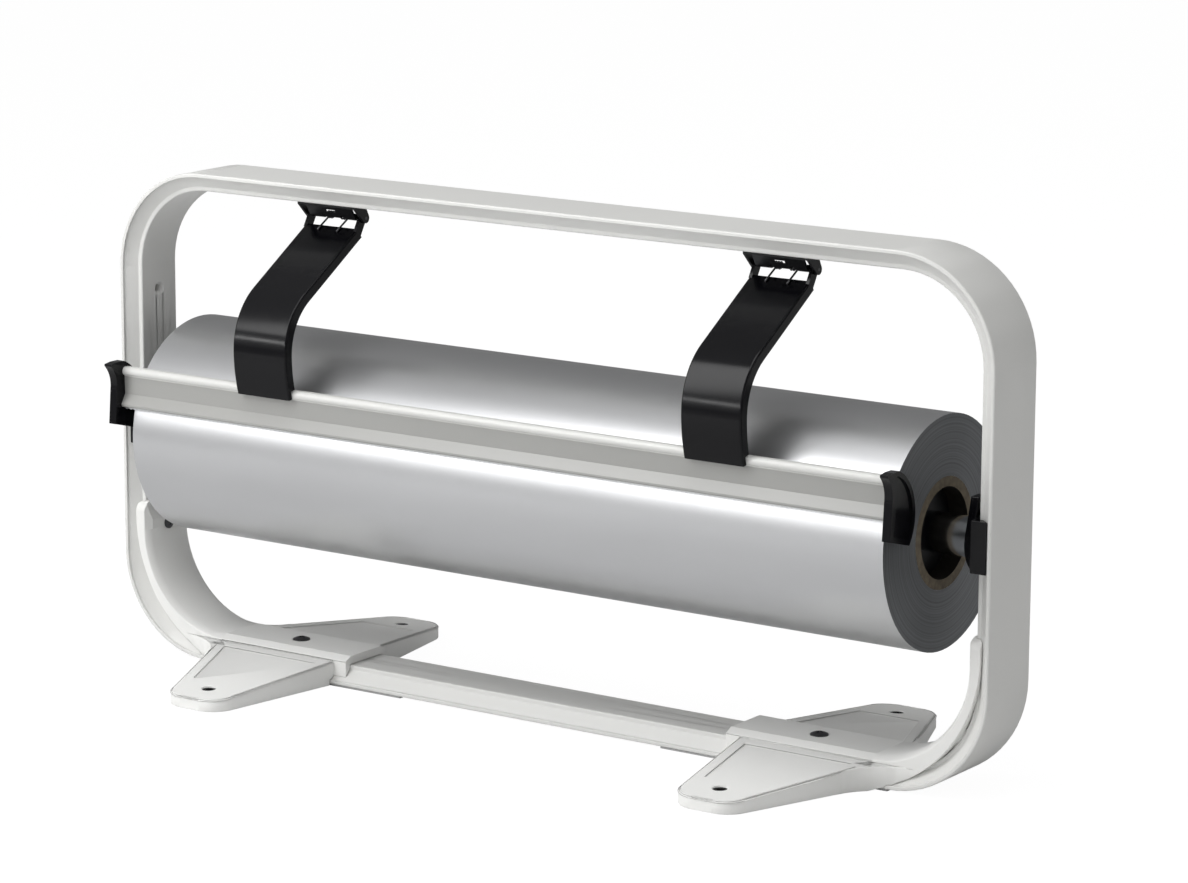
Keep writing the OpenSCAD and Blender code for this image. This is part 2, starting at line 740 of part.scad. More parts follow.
module shaft_holder() {
    color(plastic_colour) difference() {
        union() {
            translate([holder_x + cradle_depth / 2, 0, shaft_z])
                along_x(cradle_depth) cradle_outline();
            translate([inner_x - holder_back / 2, 0, shaft_z])
                along_x(holder_back) union() {
                    circle(r = cradle_r);
                    translate([-clip_w / 2, -clip_h / 2]) square([clip_w, clip_h]);
                }
            translate([inner_x - seat_gap, -clip_w / 2, shaft_z - clip_h / 2])
                cube([clip_reach, clip_w, clip_h]);
        }
        loop(seat_gap);
        translate([holder_x, 0, shaft_z]) rod_x(frame_hole_r, 4 * strip_t);
        translate([inner_x - holder_back - cut, 0, shaft_z]) rotate([0, 90, 0])
            cylinder(h = cut + small_head_h / 2, r = small_head_d / 2 + seat_gap);
    }
}

module left_shaft_holder() { mirror([1, 0, 0]) shaft_holder(); }
module right_shaft_holder() { shaft_holder(); }

// Countersunk screws behind the shaft's ends, flush with the holders' back walls
module holder_screws() {
    color(screw_colour) both_sides() difference() {
        translate([inner_x - holder_back + seat_gap, 0, shaft_z]) rotate([0, 90, 0]) union() {
            cylinder(h = small_head_h / 2 - seat_gap, r = small_head_d / 2);
            cylinder(h = holder_back + frame_hole_depth / 2, r = shank_r);
        }
        translate([inner_x - holder_back, 0, shaft_z])
            cube([small_head_h / 2, small_head_d / 2, slot_share * small_head_d], center = true);
    }
}

module shaft() {
    color(steel_colour) translate([0, 0, shaft_z]) difference() {
        rod_x(shaft_r, 2 * shaft_end);
        rod_x(shaft_r - shaft_t, 2 * side_x);
    }
}

// A plug with a hub on the shaft, a rim in the core, an end wall and ribs between them
module core_plug() {
    rim_r = core_in - seat_gap;
    hub_r = shaft_r + run_gap;
    rib_start = rib_start_share * plug_l;
    rib_l = plug_l - rib_start - plug_wall / 2;
    color(plastic_colour) difference() {
        union() {
            difference() {
                cylinder(h = plug_l, r = rim_r);
                translate([0, 0, -cut]) cylinder(h = plug_l - plug_wall + cut, r = rim_r - plug_wall);
            }
            cylinder(h = plug_l, r = hub_r + plug_wall);
            for (i = [0:plug_ribs - 1]) rotate([0, 0, i * 360 / plug_ribs])
                translate([shaft_r + plug_wall / 2, -plug_wall / 4, rib_start])
                    cube([rim_r - shaft_r - plug_wall, plug_wall / 2, rib_l]);
        }
        translate([0, 0, -cut]) cylinder(h = plug_l + 2 * cut, r = hub_r);
    }
}

module left_core_plug() {
    translate([roll_shift - roll_l / 2 + plug_sink + plug_l, 0, shaft_z])
        rotate([0, -90, 0]) core_plug();
}

module right_core_plug() {
    translate([roll_shift + roll_l / 2 - plug_sink - plug_l, 0, shaft_z])
        rotate([0, 90, 0]) core_plug();
}

module core_tube() {
    color(card_colour) translate([roll_shift, 0, shaft_z]) difference() {
        rod_x(core_r, roll_l);
        rod_x(core_in, roll_l + 2 * cut);
    }
}

module paper_roll() {
    color(paper_colour) translate([roll_shift, 0, shaft_z]) difference() {
        rod_x(roll_r, roll_l);
        rod_x(core_r + run_gap, roll_l + 2 * cut);
    }
}

// One hinge bracket: a plate under the bar, a leaning wall before the coils and two ears
module bracket() {
    ear_x = arm_w / 2 + move_gap;
    wall_w = arm_w - 2 * arm_flange_t - 4 * move_gap;
    plate_z = bar_under - plate_t;
    notch_w = wire_d + 4 * move_gap;
    front = [-plate_front - pin_y, plate_z - pin_z];
    rear = [0, plate_z - pin_z];
    foot_y = wall_lean - wall_front;
    color(plastic_colour) difference() {
        union() {
            translate([-ear_x - ear_t, -plate_front, plate_z])
                cube([2 * (ear_x + ear_t), plate_front + plate_rear, plate_t]);
            for (s = [-1, 1]) translate([s * (ear_x + ear_t / 2), pin_y, pin_z]) along_x(ear_t) {
                circle(r = ear_r);
                polygon([
                    front, touch(front, [0, 0], ear_r, 1), [0, 0],
                    touch(rear, [0, 0], ear_r, -1), rear
                ]);
            }
            along_x(wall_w) polygon([
                [-wall_front, plate_z], [foot_y, plate_z - wall_h],
                [foot_y + wall_t, plate_z - wall_h], [wall_t - wall_front, plate_z]
            ]);
        }
        translate([-wall_slot_w / 2, -plate_front, plate_z - wall_slot_drop - wall_slot_h])
            cube([wall_slot_w, plate_front, wall_slot_h]);
        for (s = [-1, 1]) translate([s * leg_x - notch_w / 2, -plate_front, plate_z - wall_h - cut])
            cube([notch_w, plate_front + pin_y, wire_d + move_gap + cut]);
        translate([0, pin_y, pin_z]) rod_x(pin_r, 2 * arm_w);
        for (s = [-1, 1]) translate([s * bracket_screw_x, bracket_screw_y, plate_z - cut])
            cylinder(h = plate_t + 2 * cut, r = frame_hole_r);
    }
}

module left_arm_bracket() { translate([-arm_x, 0, 0]) bracket(); }
module right_arm_bracket() { translate([arm_x, 0, 0]) bracket(); }

module bracket_screws() {
    color(screw_colour) both_sides() for (s = [-1, 1])
        translate([arm_x + s * bracket_screw_x, bracket_screw_y, bar_under - plate_t])
            rotate([180, 0, 0]) screw(small_head_d, small_head_h, plate_t + frame_hole_depth - cut);
}

module hinge_pin() {
    color(steel_colour) translate([0, pin_y, pin_z])
        rod_x(pin_r, arm_w + 2 * (move_gap + ear_t));
}

module left_hinge_pin() { translate([-arm_x, 0, 0]) hinge_pin(); }
module right_hinge_pin() { translate([arm_x, 0, 0]) hinge_pin(); }

// Section of an arm: the web's front at x = 0 with rounded outer edges, flanges towards -X
module arm_section() {
    half = arm_w / 2;
    e = arm_edge_r;
    difference() {
        union() {
            translate([-arm_flange_d, -half]) square([arm_flange_d - e, arm_w]);
            translate([-arm_flange_d, e - half]) square([arm_flange_d, arm_w - 2 * e]);
            for (s = [-1, 1]) translate([-e, s * (half - e)]) circle(r = e);
        }
        translate([-arm_flange_d - cut, arm_flange_t - half])
            square([arm_flange_d + cut - arm_web, arm_w - 2 * arm_flange_t]);
    }
}

// Turns a bend's frame: X towards angle a0, Z along the roll
module bend_at(y, z, a0) {
    translate([0, y, z]) rotate([90, 0, 90]) rotate([0, 0, a0]) children();
}

// The bent channel of an arm: slope, upper bend and tail
module arm_channel() {
    tail_cy = bend_front + arm_tail_r;
    flange_angle = asin((bend_top_z - rail_high - 2 * move_gap) / (arm_tail_r - arm_flange_d));
    bend_at(bend_y, bend_top_z, bend_start) {
        translate([arm_bend_r, 0, 0]) rotate([90, 0, 0]) linear_extrude(slope_l) arm_section();
        rotate_extrude(angle = 180 - bend_start + bend_lap) translate([arm_bend_r, 0])
            arm_section();
    }
    bend_at(tail_cy, bend_top_z, 180) {
        rotate_extrude(angle = flange_angle) translate([arm_tail_r, 0]) arm_section();
        rotate_extrude(angle = tail_angle) translate([arm_tail_r, 0]) intersection() {
            arm_section();
            translate([-arm_web, -arm_w]) square([arm_web, 2 * arm_w]);
        }
    }
}

// Side view of a flange's neck and eye round the hinge pin
module arm_eye() {
    pin_at = [pin_y, pin_z];
    inward = [-cos(bend_start), -sin(bend_start)];
    low = web_top + arm_flange_d * inward;
    front = web_top + arm_web * slope_dir;
    rear = low + arm_web * slope_dir;
    translate(pin_at) circle(r = ear_r - seat_gap);
    polygon([
        pin_at, touch(front, pin_at, ear_r - seat_gap, -1), front, rear,
        touch(rear, pin_at, ear_r - seat_gap, 1)
    ]);
}

module spring_arm() {
    flange_x = (arm_w - arm_flange_t) / 2;
    barrel_l = arm_w / 2 - barrel_in;
    color(plastic_colour) difference() {
        union() {
            arm_channel();
            for (s = [-1, 1]) {
                translate([s * flange_x, 0, 0]) along_x(arm_flange_t) arm_eye();
                translate([s * (barrel_in + barrel_l / 2), pin_y, pin_z]) rod_x(barrel_d / 2, barrel_l);
            }
        }
        translate([0, pin_y, pin_z]) rod_x(pin_r + run_gap, 2 * arm_w);
        for (s = [-1, 1]) rivet_at(s) translate([0, 0, -arm_web])
            cylinder(h = arm_web + seat_gap + rivet_bite, r = rivet_r);
    }
}

module left_spring_arm() { translate([-arm_x, 0, 0]) spring_arm(); }
module right_spring_arm() { translate([arm_x, 0, 0]) spring_arm(); }

// Place of an arm's two rivets: the middle of the rail's lip, with Z towards the front
module rivet_at(s) {
    translate([s * arm_w / 4, lip_front, lip_z]) rotate([90, 0, 0]) children();
}

// Rivets through the rail's lip into the arms, ending inside the arms' webs
module arm_rivets() {
    back = lip_back - lip_front;
    color(screw_colour) for (x = [-arm_x, arm_x], s = [-1, 1]) translate([x, 0, 0]) rivet_at(s) {
        translate([0, 0, -back]) cylinder(h = back + seat_gap + rivet_bite, r = rivet_r);
        translate([0, 0, -back - rivet_r]) cylinder(h = rivet_r, r = 2 * rivet_r);
    }
}

// Centre line of one half of a spring: half the bridge, a coil round the pin, and a leg that
// leaves the coil's underside and lies on the front of the arm's web
coil_steps = 8;
coil_r = (pin_r + 2 * run_gap + wire_d / 2) / cos(180 / coil_steps);
leg_at = [-web_advance, -web_drop]
    + (wire_d / 2 + seat_gap) * [cos(bend_start), sin(bend_start)];
coil_out = touch(leg_at, [0, 0], coil_r, 1);
coil_turn = 360 * spring_turns - 180 - atan2(coil_out.y, coil_out.x);
coil_n = ceil(coil_steps * coil_turn / 360);
leg_start = coil_out + wire_d * (leg_at - coil_out) / norm(leg_at - coil_out);
leg_end_at = leg_at + leg_rest * slope_dir;
function coil_pt(i) = let (a = 180 - coil_turn * i / coil_n)
    [bridge_half + (leg_x - bridge_half) * i / coil_n, coil_r * cos(a), coil_r * sin(a)];
half_line = concat(
    [for (i = [0:coil_n]) coil_pt(i)],
    [for (q = [leg_start, leg_at, leg_end_at]) [leg_x, q.x, q.y]]
);
spring_line = concat(
    [for (i = [len(half_line) - 1:-1:0]) [-half_line[i].x, half_line[i].y, half_line[i].z]],
    half_line
);

// Least gap between two parts of the wire that are over half a turn apart
spring_gap = min([
    for (i = [0:coil_n - coil_steps + 1], j = [i + coil_steps - 2:coil_n])
        norm(half_line[i] - half_line[j])
]) - wire_d;
echo(spring_least_gap = spring_gap);

function line_dir(p, i) = unit(p[min(i + 1, len(p) - 1)] - p[max(i - 1, 0)]);

// A wire of six sides swept along points, each ring square to the line there
module wire(p, r) {
    sides = 6;
    rings = [for (i = [0:len(p) - 1])
        let (
            d = line_dir(p, i),
            u = unit(cross(d, abs(d.x) > norm([d.y, d.z]) ? [0, 1, 0] : [1, 0, 0])),
            v = cross(d, u)
        )
            for (k = [0:sides - 1]) p[i] + r * (cos(360 * k / sides) * u + sin(360 * k / sides) * v)];
    last = (len(p) - 1) * sides;
    polyhedron(points = rings, faces = concat(
        [[for (k = [0:sides - 1]) k]],
        [for (i = [0:len(p) - 2], k = [0:sides - 1])
            let (a = i * sides + k, b = i * sides + (k + 1) % sides) [a, a + sides, b + sides, b]],
        [[for (k = [sides - 1:-1:0]) last + k]]
    ));
}

module torsion_spring() {
    color(steel_colour) translate([0, pin_y, pin_z]) wire(spring_line, wire_d / 2);
}

module left_torsion_spring() { translate([-arm_x, 0, 0]) torsion_spring(); }
module right_torsion_spring() { translate([arm_x, 0, 0]) torsion_spring(); }

// The rail's section: round lip, web, sloping nose and the flat that rests on the roll
module rail_section() {
    pad = rail_pad * [sin(rest_angle), cos(rest_angle)];
    rest = [rest_y, rest_z];
    web_back = rail_front + rail_web;
    lip_c = [lip_front + lip_r, lip_z];
    lip_round = [for (a = [270:-15:90]) lip_c + lip_r * [cos(a), sin(a)]];
    e = rail_edge_r;
    polygon(concat(
        [rest - pad, [rest_y - pad.x - e, rail_low], [nose_y + e, rail_low]],
        [[nose_y, rail_low + e], [nose_y, nose_z], [rail_front, nose_z + rail_slope_h]],
        [for (q = lip_round) if (q.x < rail_front || q.y > lip_z) q],
        [[lip_back - e, rail_high], [lip_back, rail_high - e], [lip_back, lip_low + e]],
        [[web_back, lip_low], [web_back, rest_z + pad.y + e], rest + pad]
    ));
}

blade_y = nose_y + blade_t + rail_edge_r;

module cutting_rail() {
    slot = blade_t + seat_gap;
    color(paint_colour) difference() {
        along_x(rail_l) rail_section();
        translate([-rail_l, blade_y - slot / 2, rail_low - cut])
            cube([2 * rail_l, slot, blade_h - blade_out + seat_gap + cut]);
        for (x = [-arm_x, arm_x], s = [-1, 1]) translate([x, 0, 0]) rivet_at(s)
            cylinder(h = 8 * rail_web, r = rivet_r + run_gap, center = true);
    }
}

module serrated_blade() {
    teeth = floor(rail_l / tooth_pitch) - 1;
    x0 = -teeth * tooth_pitch / 2;
    tip_z = rail_low - blade_out;
    color(steel_colour) translate([0, blade_y, 0]) along_y(blade_t) polygon(concat(
        [[-x0, tip_z + blade_h], [x0, tip_z + blade_h]],
        [for (i = [0:teeth - 1]) each [
            [x0 + i * tooth_pitch, tip_z + tooth_h],
            [x0 + (i + 0.5) * tooth_pitch, tip_z]
        ]],
        [[-x0, tip_z + tooth_h]]
    ));
}

// Side view of a rail cap: round back, slanting foot and a finger hollow in front
module cap_outline(inset = 0) {
    back = [rest_y - cap_back_r / 2 + rail_edge_r, rest_z - rail_edge_r * 2];
    top = rail_high + cap_over - inset;
    low = top - cap_h + 2 * inset;
    front = back.x - rail_edge_r * 2 + inset;
    hollow = [front - cap_hollow_r + rail_lip_h, lip_low - rail_lip_h];
    difference() {
        intersection() {
            translate(back) circle(r = cap_back_r - inset);
            polygon([
                [front, top - rail_edge_r], [front + rail_lip_h, top], [back.x + cap_back_r, top],
                [back.x + cap_back_r, low], [back.x + cap_back_r * cap_foot_share, low],
                [front + rail_nose_out, low + cap_slant], [front, low + cap_slant]
            ]);
        }
        translate(hollow) circle(r = cap_hollow_r + inset);
        polygon([
            [front - cap_hollow_r, hollow.y], [hollow.x + cap_hollow_r + inset, hollow.y],
            [front + rail_nose_out - rail_edge_r, low], [front - cap_hollow_r, low]
        ]);
    }
}

module rail_cap() {
    x0 = rail_l / 2;
    web_back = rail_front + rail_web;
    color(plastic_colour) {
        difference() {
            translate([x0 + cap_t / 2, 0, 0]) along_x(cap_t) cap_outline();
            translate([x0 + cap_t, 0, 0]) along_x(2 * cap_sink) cap_outline(cap_rim);
        }
        translate([x0 - cap_tongue, web_back + seat_gap, nose_z + rail_slope_h])
            cube([cap_tongue + cut, rail_web / 2, lip_low - nose_z - rail_slope_h - rail_edge_r]);
    }
}

module left_rail_cap() { mirror([1, 0, 0]) rail_cap(); }
module right_rail_cap() { rail_cap(); }

frame_loop();
left_foot();
right_foot();
left_clamp_strip();
right_clamp_strip();
foot_bushes();
saddle_screws();
foot_arm_screws();
left_shaft_holder();
right_shaft_holder();
holder_screws();
shaft();
left_core_plug();
right_core_plug();
core_tube();
paper_roll();
left_arm_bracket();
right_arm_bracket();
bracket_screws();
left_hinge_pin();
right_hinge_pin();
left_torsion_spring();
right_torsion_spring();
left_spring_arm();
right_spring_arm();
arm_rivets();
cutting_rail();
serrated_blade();
left_rail_cap();
right_rail_cap();
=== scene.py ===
"""Looks of a table paper roll dispenser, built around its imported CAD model.

Everything is in metres in the frame of the CAD: X along the roll, -Y towards the user, Z up from
the counter.
"""

import math

import bpy
import numpy as np
from mathutils import Matrix, Vector


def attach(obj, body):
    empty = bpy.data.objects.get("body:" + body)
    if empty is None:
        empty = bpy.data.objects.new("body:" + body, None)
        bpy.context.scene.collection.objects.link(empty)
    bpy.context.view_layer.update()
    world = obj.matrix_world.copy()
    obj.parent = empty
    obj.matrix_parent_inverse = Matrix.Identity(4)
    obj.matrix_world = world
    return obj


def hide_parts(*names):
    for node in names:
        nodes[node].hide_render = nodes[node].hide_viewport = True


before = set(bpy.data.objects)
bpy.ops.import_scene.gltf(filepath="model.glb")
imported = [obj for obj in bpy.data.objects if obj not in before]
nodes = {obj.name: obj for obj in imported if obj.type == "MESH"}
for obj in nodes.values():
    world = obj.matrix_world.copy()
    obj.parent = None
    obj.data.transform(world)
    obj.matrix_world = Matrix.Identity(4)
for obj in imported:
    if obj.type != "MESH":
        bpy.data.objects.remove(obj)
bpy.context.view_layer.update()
scene = bpy.context.scene

MM = 0.001
SHAFT_AXIS = (0.0, 0.0, 0.140)
# Painted highlight on the rail's rounded lip: the height above which it shows, and the half-width of its
# blend
LIP_HIGHLIGHT_HEIGHT = 0.1768
LIP_HIGHLIGHT_BLEND = 0.0003

# Camera: the photograph's viewpoint
CAMERA_PLACE = (1.33738, -1.91138, 0.64836)
CAMERA_YAW = 0.6
CAMERA_PITCH = 0.207
CAMERA_ROLL = 0.0038
CAMERA_LENS = 128.86
CAMERA_SENSOR = 36.0

# Paint, plastic, paper and metal colours, linear
WARM_GREY = (0.73, 0.73, 0.71)
CAST_GREY = (0.84, 0.84, 0.82)
# The rail's grey is set darker than the frame's paint, partly as painted shade on the rail's front faces;
# the lip colour is a painted highlight
RAIL_GREY = (0.35, 0.35, 0.336)
RAIL_LIP_HIGHLIGHT = (0.68, 0.68, 0.66)
ARM_BLACK = (0.003, 0.003, 0.004)
# Near-black of the foot bushes: painted shade for the insides of the foot holes
BUSH_SHADE_BLACK = (0.012, 0.012, 0.012)
SILVER = (0.54, 0.545, 0.555)
EDGE_GREY = (0.135, 0.141, 0.148)
CARD = (0.15, 0.125, 0.09)
SCREW_STEEL = (0.09, 0.09, 0.095)
SPRING_STEEL = (0.10, 0.10, 0.105)
STRIP_STEEL = (0.5, 0.5, 0.5)
BLADE_STEEL = (0.62, 0.63, 0.64)
SHAFT_STEEL = (0.78, 0.80, 0.82)

# Noise drawn out twentyfold along the roll
ALONG_X = (0.05, 1, 1)

# Round edges
STRIP_EDGE = 0.0004
FOOT_EDGE = 0.0005
EDGE_STEPS = 2
EDGE_ANGLE = 40
SAME_POINT = 1e-6

# Torsion springs, in millimetres; a leg's points are (y, z) from the hinge pin
PIN = (151.8, 3.0, 272.5)
WIRE_R = 0.55
COIL_R = 1.786
COIL_DEGREES = 960.484
COIL_STEPS = 84
WIRE_SIDES = 14
BRIDGE_HALF = 2.5
LEG_X = 6.9
LEG_POINTS = ((-0.0774, -2.0961), (-5.5682, -5.2047), (-9.8206, -7.8346))

# Surroundings: grey levels over (cosine + 1) / 2 of the angle from the bright side
WORLD_POWER = 1.08
WORLD_FRONT = (-0.75, -0.65, 0.1)
WORLD_SIDE = [(0.0, 0.20), (0.6, 0.20), (1.0, 0.76)]

# Counter: its matt grey, and the white glow that the camera alone sees, with that glow's share
COUNTER_HALF = 6.0
COUNTER_GREY = 0.76
COUNTER_GLOW = 1.09
COUNTER_GLOW_SHARE = 0.88

# Lamps: name, place, the point each faces, width and height, watts
LAMPS = (
    ("near_key", (-0.57, -0.80, 0.94), (0.147, -0.066, 0.20), (0.45, 0.95), 6.6),
    ("low_strip", (-0.49, -1.09, 0.36), (0.1, -0.05, 0.20), (1.0, 0.05), 2.0),
    ("overhead", (0.1, -0.5, 2.2), (0.0, 0.0, 0.1), (1.6, 1.2), 19.0),
    ("front_fill", (0.95, -1.75, 1.0), (0.0, 0.0, 0.14), (1.0, 0.7), 1.3),
    ("right_fill", (1.7, 0.3, 0.7), (0.0, 0.0, 0.14), (1.0, 0.9), 2.4),
)


def place_camera():
    """Camera frame from yaw, pitch and roll: it looks along d, with r to the right and u up."""
    cy, sy = math.cos(CAMERA_YAW), math.sin(CAMERA_YAW)
    cp, sp = math.cos(CAMERA_PITCH), math.sin(CAMERA_PITCH)
    d = Vector((-sy * cp, cy * cp, -sp))
    right = Vector((cy, sy, 0.0))
    up = right.cross(d)
    cr, sr = math.cos(CAMERA_ROLL), math.sin(CAMERA_ROLL)
    r = cr * right + sr * up
    u = -sr * right + cr * up
    data = bpy.data.cameras.new("photo_camera")
    data.lens = CAMERA_LENS
    data.sensor_width = CAMERA_SENSOR
    data.clip_start, data.clip_end = 0.05, 50.0
    cam = bpy.data.objects.new("photo_camera", data)
    cam.matrix_world = Matrix((
        (r.x, u.x, -d.x, CAMERA_PLACE[0]),
        (r.y, u.y, -d.y, CAMERA_PLACE[1]),
        (r.z, u.z, -d.z, CAMERA_PLACE[2]),
        (0.0, 0.0, 0.0, 1.0),
    ))
    scene.collection.objects.link(cam)
    scene.camera = cam


def soft_box(name, place, target, size, power):
    """A rectangular lamp at place that faces target."""
    data = bpy.data.lights.new(name, "AREA")
    data.shape = "RECTANGLE"
    data.size, data.size_y = size
    data.energy = power
    lamp = bpy.data.objects.new(name, data)
    aim = Vector(target) - Vector(place)
    lamp.rotation_euler = aim.to_track_quat("-Z", "Y").to_euler()
    lamp.location = place
    scene.collection.objects.link(lamp)


class Nodes:
    """A short way to write a material: new nodes, their values and their links."""

    def __init__(self, tree):
        self.tree = tree
        self.tree.nodes.clear()

    def new(self, kind, **values):
        node = self.tree.nodes.new(kind)
        for key, value in values.items():
            setattr(node, key, value)
        return node

    def link(self, out, into):
        self.tree.links.new(out, into)

    def ramp(self, source, stops):
        """A colour ramp over source with (place, colour) stops."""
        node = self.new("ShaderNodeValToRGB")
        ramp = node.color_ramp
        while len(ramp.elements) < len(stops):
            ramp.elements.new(0.5)
        for element, (at, colour) in zip(ramp.elements, stops):
            element.position = at
            element.color = (*colour, 1.0)
        self.link(source, node.inputs[0])
        return node.outputs[0]


def world_light():
    """Studio surroundings: a dim room that grows bright towards the front left, and white for the camera."""
    world = bpy.data.worlds.new("studio")
    scene.world = world
    world.use_nodes = True
    n = Nodes(world.node_tree)
    towards = n.new("ShaderNodeVectorMath", operation="DOT_PRODUCT")
    n.link(n.new("ShaderNodeTexCoord").outputs["Generated"], towards.inputs[0])
    towards.inputs[1].default_value = Vector(WORLD_FRONT).normalized()
    span = n.new("ShaderNodeMapRange")
    span.inputs["From Min"].default_value = -1.0
    n.link(towards.outputs["Value"], span.inputs["Value"])
    grey = n.new("ShaderNodeBackground")
    n.link(n.ramp(span.outputs[0], [(at, (v, v, v)) for at, v in WORLD_SIDE]), grey.inputs["Color"])
    grey.inputs["Strength"].default_value = WORLD_POWER
    white = n.new("ShaderNodeBackground")
    white.inputs["Color"].default_value = (1.0, 1.0, 1.0, 1.0)
    path = n.new("ShaderNodeLightPath")
    mix = n.new("ShaderNodeMixShader")
    n.link(path.outputs["Is Camera Ray"], mix.inputs[0])
    n.link(grey.outputs[0], mix.inputs[1])
    n.link(white.outputs[0], mix.inputs[2])
    out = n.new("ShaderNodeOutputWorld")
    n.link(mix.outputs[0], out.inputs[0])


def studio_floor():
    """A wide white counter that keeps a soft shadow under the object."""
    h = COUNTER_HALF
    mesh = bpy.data.meshes.new("studio_floor")
    mesh.from_pydata([(-h, -h, 0), (h, -h, 0), (h, h, 0), (-h, h, 0)], [], [(0, 1, 2, 3)])
    floor = bpy.data.objects.new("studio_floor", mesh)
    scene.collection.objects.link(floor)
    mat = bpy.data.materials.new("studio_white")
    mat.use_nodes = True
    n = Nodes(mat.node_tree)
    matt = n.new("ShaderNodeBsdfDiffuse")
    matt.inputs["Color"].default_value = (COUNTER_GREY, COUNTER_GREY, COUNTER_GREY, 1.0)
    glow = n.new("ShaderNodeEmission")
    glow.inputs["Color"].default_value = (1.0, 1.0, 1.0, 1.0)
    glow.inputs["Strength"].default_value = COUNTER_GLOW
    path = n.new("ShaderNodeLightPath")
    share = n.new("ShaderNodeMath", operation="MULTIPLY")
    share.inputs[1].default_value = COUNTER_GLOW_SHARE
    n.link(path.outputs["Is Camera Ray"], share.inputs[0])
    mix = n.new("ShaderNodeMixShader")
    n.link(share.outputs[0], mix.inputs[0])
    n.link(matt.outputs[0], mix.inputs[1])
    n.link(glow.outputs[0], mix.inputs[2])
    out = n.new("ShaderNodeOutputMaterial")
    n.link(mix.outputs[0], out.inputs[0])
    mesh.materials.append(mat)


def surface(name, colour, metallic=0.0, roughness=0.4, specular=0.5):
    """A principled material. Returns (material, its nodes, the shader, object coordinates)."""
    mat = bpy.data.materials.new(name)
    mat.use_nodes = True
    n = Nodes(mat.node_tree)
    shader = n.new("ShaderNodeBsdfPrincipled")
    shader.inputs["Base Color"].default_value = (*colour, 1.0)
    shader.inputs["Metallic"].default_value = metallic
    shader.inputs["Roughness"].default_value = roughness
    shader.inputs["Specular IOR Level"].default_value = specular
    out = n.new("ShaderNodeOutputMaterial")
    n.link(shader.outputs[0], out.inputs[0])
    place = n.new("ShaderNodeTexCoord").outputs["Object"]
    return mat, n, shader, place


def grain(n, place, scale, stretch=(1, 1, 1), detail=3.0):
    """Noise over object coordinates, stretched by axis."""
    turn = n.new("ShaderNodeMapping")
    turn.inputs["Scale"].default_value = stretch
    n.link(place, turn.inputs["Vector"])
    noise = n.new("ShaderNodeTexNoise")
    noise.inputs["Scale"].default_value = scale
    noise.inputs["Detail"].default_value = detail
    n.link(turn.outputs[0], noise.inputs["Vector"])
    return noise.outputs["Fac"]


def vary(n, source, socket, low, high):
    """Lets a shader's input run from low to high with source."""
    span = n.new("ShaderNodeMapRange")
    span.inputs["From Min"].default_value = 0.2
    span.inputs["From Max"].default_value = 0.8
    span.inputs["To Min"].default_value = low
    span.inputs["To Max"].default_value = high
    n.link(source, span.inputs["Value"])
    n.link(span.outputs[0], socket)


def tint(n, source, socket, low, high):
    """Lets a shader's colour run from low to high with source."""
    n.link(n.ramp(source, [(0.2, low), (0.8, high)]), socket)


def relief(n, source, shader, height, strength):
    """Bump of that height in metres."""
    bump = n.new("ShaderNodeBump")
    bump.inputs["Distance"].default_value = height
    bump.inputs["Strength"].default_value = strength
    n.link(source, bump.inputs["Height"])
    n.link(bump.outputs[0], shader.inputs["Normal"])


def scaled(colour, k):
    """The colour made k times as bright."""
    return tuple(c * k for c in colour)


def painted_highlight_above(n, place, shader, height, colour):
    """Painted highlight: above this height of object coordinates the paint takes this lighter colour,
    standing in for light on a rounded lip.
    """
    axes = n.new("ShaderNodeSeparateXYZ")
    n.link(place, axes.inputs[0])
    share = n.new("ShaderNodeMapRange")
    share.inputs["From Min"].default_value = height - LIP_HIGHLIGHT_BLEND
    share.inputs["From Max"].default_value = height + LIP_HIGHLIGHT_BLEND
    n.link(axes.outputs["Z"], share.inputs["Value"])
    mix = n.new("ShaderNodeMix", data_type="RGBA")
    n.link(share.outputs[0], mix.inputs[0])
    n.link(shader.inputs["Base Color"].links[0].from_socket, mix.inputs[6])
    mix.inputs[7].default_value = (*colour, 1.0)
    n.link(mix.outputs[2], shader.inputs["Base Color"])


def satin_paint(name, colour, shine=0.5, gloss=0.38, lip_highlight=None):
    """Baked satin paint: faint orange peel, with a slow drift of colour and gloss.

    Where a height and colour are given for the lip, the paint above that height takes that colour as a
    painted highlight on a rounded lip.
    """
    mat, n, shader, place = surface(name, colour, specular=shine)
    tint(n, grain(n, place, 9.0), shader.inputs["Base Color"], scaled(colour, 0.965), scaled(colour, 1.02))
    if lip_highlight:
        painted_highlight_above(n, place, shader, *lip_highlight)
    vary(n, grain(n, place, 60.0), shader.inputs["Roughness"], gloss * 0.95, gloss * 1.05)
    relief(n, grain(n, place, 900.0, detail=2.0), shader, 0.00003, 0.5)
    return mat


def moulded_plastic(name, colour, gloss=0.16, shine=0.2):
    """Injection-moulded plastic: fine mould grain under a gloss that drifts a little."""
    mat, n, shader, place = surface(name, colour, roughness=gloss, specular=shine)
    tint(n, grain(n, place, 14.0), shader.inputs["Base Color"], scaled(colour, 0.85), scaled(colour, 1.2))
    vary(n, grain(n, place, 45.0), shader.inputs["Roughness"], gloss * 0.85, gloss * 1.2)
    relief(n, grain(n, place, 700.0, detail=2.0), shader, 0.00002, 0.4)
    return mat


def drawn_metal(name, colour, roughness, stretch=(1, 1, 1)):
    """Drawn or brushed metal: lines along the stretched axis, or an even grain."""
    mat, n, shader, place = surface(name, colour, metallic=1.0, roughness=roughness)
    lines = grain(n, place, 250.0, stretch, detail=4.0)
    tint(n, lines, shader.inputs["Base Color"], scaled(colour, 0.88), scaled(colour, 1.08))
    vary(n, lines, shader.inputs["Roughness"], roughness * 0.8, roughness * 1.25)
    relief(n, lines, shader, 0.00002, 0.4)
    return mat


